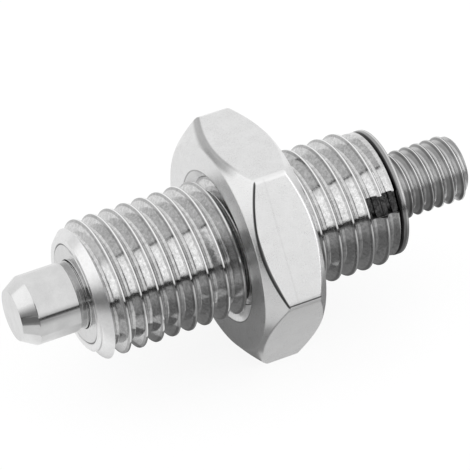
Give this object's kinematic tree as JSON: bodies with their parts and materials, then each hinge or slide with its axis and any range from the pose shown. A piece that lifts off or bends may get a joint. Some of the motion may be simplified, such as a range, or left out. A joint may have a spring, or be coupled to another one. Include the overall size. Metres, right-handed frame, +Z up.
{
  "type": "index plunger",
  "caption": "Stainless indexing plunger: threaded round body, sprung pin with tapered nose, threaded pull stud and a thin hexagon lock nut.",
  "frame": {"origin": "on the plunger's axis, in the plane of the threaded sleeve's front face", "axes": "+X along the axis from the pin's nose towards the pull stud, +Z up, square to the flat of the nut that the plunger lies on"},
  "size_m": [0.0415, 0.0218, 0.019],
  "materials": {
    "threaded_steel": "turned, with polished crests",
    "turned_steel": "fine turned",
    "ground_steel": "ground satin",
    "spring_steel": "drawn wire",
    "nut_steel": "satin flats, polished chamfers"
  },
  "bodies": {
    "guide": {"guide_sleeve": "threaded_steel", "front_bush": "turned_steel", "rear_bush": "turned_steel", "spring": "spring_steel"},
    "plunger": {"plunger_pin": "ground_steel"},
    "nut": {"lock_nut": "nut_steel"}
  },
  "joints": [
    {"name": "plunger_slide", "type": "slide", "parent": "guide", "child": "plunger", "axis": [1, 0, 0], "range_m": [0, 0.006], "stiffness_N_per_m": 2000, "springref_m": -0.0035, "deforming": ["spring"]},
    {"name": "nut_travel", "type": "slide", "parent": "guide", "child": "nut", "axis": [1, 0, 0], "range_m": [-0.012, 0.0075]}
  ]
}
